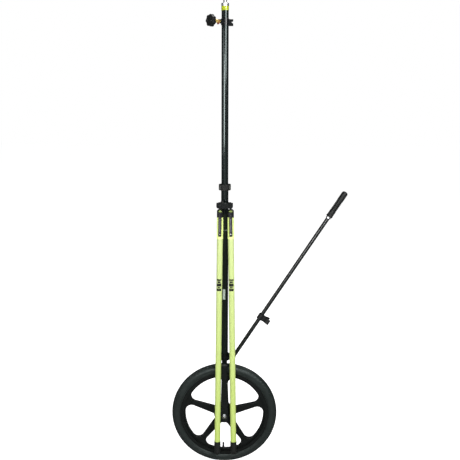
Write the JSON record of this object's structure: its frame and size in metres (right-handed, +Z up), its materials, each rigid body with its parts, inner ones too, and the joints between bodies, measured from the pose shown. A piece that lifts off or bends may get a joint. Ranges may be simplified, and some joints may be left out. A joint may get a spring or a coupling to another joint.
{
  "type": "surveying pole with measuring wheel",
  "caption": "Telescopic surveying pole on a spoked wheel, with a hinged push handle, a folding two-leg stand and a threaded stud on top.",
  "frame": {"origin": "point of the tyre on the ground, straight below the pole's axis", "axes": "+Z up along the pole, +X to the side of the push handle, -Y to the front where the legs hang"},
  "size_m": [0.7532, 0.1299, 2.0189],
  "materials": {
    "black_steel": "satin black powder coat",
    "zinc_steel": "bright zinc plate",
    "bearing_steel": "ground steel",
    "black_tube": "gloss black anodised tube",
    "black_metal": "satin black paint on cast aluminium",
    "light_ring": "grey tape ring",
    "black_plastic": "fine moulded texture",
    "white_plastic": "natural acetal",
    "wheel_plastic": "moulded black nylon",
    "tyre_rubber": "dull black rubber",
    "tube_rubber": "dull black rubber",
    "bright_yellow": "bright yellow tape",
    "bare_aluminium": "machined",
    "red_plastic": "dark red",
    "brass": "machined brass",
    "black_rod": "satin black coat on tube",
    "grip_rubber": "matt black foam rubber",
    "leg_yellow": "gloss yellow-green coat on aluminium tube",
    "sleeve_yellow": "brighter yellow-green sleeve",
    "boot_rubber": "matt black",
    "lever_grey": "dark grey satin",
    "button_yellow": "yellow-green moulded"
  },
  "bodies": {
    "pole": {"fork": "black_steel", "axle_bolt": "zinc_steel", "axle_cap_nut": "zinc_steel", "axle_washers": "zinc_steel", "axle_spacers": "zinc_steel", "bearing_inner_rings": "bearing_steel", "lower_tube": "black_tube", "pole_plug": "black_metal", "crown_bolt": "zinc_steel", "mark_ring": "light_ring", "lock_body": "black_plastic", "lock_collet": "white_plastic", "handle_bracket": "black_metal", "bracket_screw": "zinc_steel", "handle_pivot_bolt": "zinc_steel", "handle_pivot_nut": "zinc_steel", "bipod_saddle": "black_metal", "bipod_clamp": "black_metal", "bipod_hinge_block": "black_metal", "bipod_screws": "black_metal", "hinge_bolts": "black_metal", "head_cap_nut": "black_plastic"},
    "wheel": {"wheel_core": "wheel_plastic", "tyre": "tyre_rubber", "inner_tube": "tube_rubber", "valve_stem": "tube_rubber", "valve_cap": "black_plastic", "bearing_outer_rings": "bearing_steel", "bearing_balls": "bearing_steel"},
    "mast": {"upper_tube": "black_tube", "guide_bush": "white_plastic", "colour_band": "bright_yellow", "top_cap": "bare_aluminium", "antenna_stud": "bare_aluminium", "top_clamp": "black_metal"},
    "collar": {"lock_collar": "black_plastic"},
    "washer": {"clamp_washer": "red_plastic"},
    "knob": {"clamp_stud": "brass", "star_knob": "black_plastic"},
    "handle": {"rod_eye": "black_metal", "push_rod": "black_rod", "grip_ring": "bare_aluminium", "grip": "grip_rubber"},
    "clip": {"rod_clip": "black_plastic"},
    "left_hinge": {"left_knuckle": "black_metal"},
    "left_rod": {"left_leg_rod": "black_tube"},
    "left_leg": {"left_leg_tube": "leg_yellow", "left_sleeve": "sleeve_yellow", "left_lock_housing": "black_plastic", "left_boot": "boot_rubber"},
    "left_trigger": {"left_lever": "lever_grey"},
    "left_button": {"left_thumb_button": "button_yellow"},
    "right_hinge": {"right_knuckle": "black_metal"},
    "right_rod": {"right_leg_rod": "black_tube"},
    "right_leg": {"right_leg_tube": "leg_yellow", "right_sleeve": "sleeve_yellow", "right_lock_housing": "black_plastic", "right_boot": "boot_rubber"},
    "right_trigger": {"right_lever": "lever_grey"},
    "right_button": {"right_thumb_button": "button_yellow"}
  },
  "joints": [
    {"name": "wheel_spin", "type": "hinge", "parent": "pole", "child": "wheel", "pos_m": [0, 0, 0.236], "axis": [0, 1, 0], "continuous": true},
    {"name": "mast_slide", "type": "slide", "parent": "pole", "child": "mast", "axis": [0, 0, -1], "range_m": [0, 0.5]},
    {"name": "collar_twist", "type": "hinge", "parent": "pole", "child": "collar", "pos_m": [0, 0, 1.2635], "axis": [0, 0, 1], "range_deg": [0, 90]},
    {"name": "washer_travel", "type": "slide", "parent": "mast", "child": "washer", "axis": [-0.7431, -0.6691, 0], "range_m": [0, 0.0045]},
    {"name": "knob_turn", "type": "hinge", "parent": "washer", "child": "knob", "pos_m": [0, 0, 1.9285], "axis": [-0.7431, -0.6691, 0], "range_deg": [0, 1080]},
    {"name": "handle_fold", "type": "hinge", "parent": "pole", "child": "handle", "pos_m": [0.04, 0, 0.506], "axis": [0, 1, 0], "range_deg": [-32.5, 57.5]},
    {"name": "clip_turn", "type": "hinge", "parent": "handle", "child": "clip", "pos_m": [0.15821, 0, 0.69155], "axis": [0.5373, 0, 0.8434], "range_deg": [0, 180]},
    {"name": "left_splay", "type": "hinge", "parent": "pole", "child": "left_hinge", "pos_m": [-0.0185, -0.052, 1.193], "axis": [0, 1, 0], "range_deg": [0, 25]},
    {"name": "left_swing", "type": "hinge", "parent": "left_hinge", "child": "left_rod", "pos_m": [-0.01875, -0.052, 1.171], "axis": [-0.9999, 0, 0.0113], "range_deg": [0, 20]},
    {"name": "left_extend", "type": "slide", "parent": "left_rod", "child": "left_leg", "axis": [-0.0113, 0, -0.9999], "range_m": [0, 0.55]},
    {"name": "left_squeeze", "type": "hinge", "parent": "left_leg", "child": "left_trigger", "pos_m": [-0.0189, -0.0745, 1.158], "axis": [0.9999, 0, -0.0113], "range_deg": [0, 5], "stiffness_Nm_per_rad": 0.5, "springref_deg": -5.73},
    {"name": "left_press", "type": "slide", "parent": "left_leg", "child": "left_button", "axis": [-0.0113, 0, -0.9999], "range_m": [0, 0.003], "stiffness_N_per_m": 300, "springref_m": -0.002},
    {"name": "right_splay", "type": "hinge", "parent": "pole", "child": "right_hinge", "pos_m": [0.0245, -0.052, 1.193], "axis": [0, -1, 0], "range_deg": [0, 25]},
    {"name": "right_swing", "type": "hinge", "parent": "right_hinge", "child": "right_rod", "pos_m": [0.02484, -0.052, 1.171], "axis": [-0.9999, 0, -0.0155], "range_deg": [0, 20]},
    {"name": "right_extend", "type": "slide", "parent": "right_rod", "child": "right_leg", "axis": [0.0155, 0, -0.9999], "range_m": [0, 0.55]},
    {"name": "right_squeeze", "type": "hinge", "parent": "right_leg", "child": "right_trigger", "pos_m": [0.02504, -0.0745, 1.158], "axis": [0.9999, 0, 0.0155], "range_deg": [0, 5], "stiffness_Nm_per_rad": 0.5, "springref_deg": -5.73},
    {"name": "right_press", "type": "slide", "parent": "right_leg", "child": "right_button", "axis": [0.0155, 0, -0.9999], "range_m": [0, 0.003], "stiffness_N_per_m": 300, "springref_m": -0.002}
  ],
  "couplings": [
    {"joint": "knob_turn", "follows": "washer_travel", "rad_per_m": 4188.8}
  ]
}
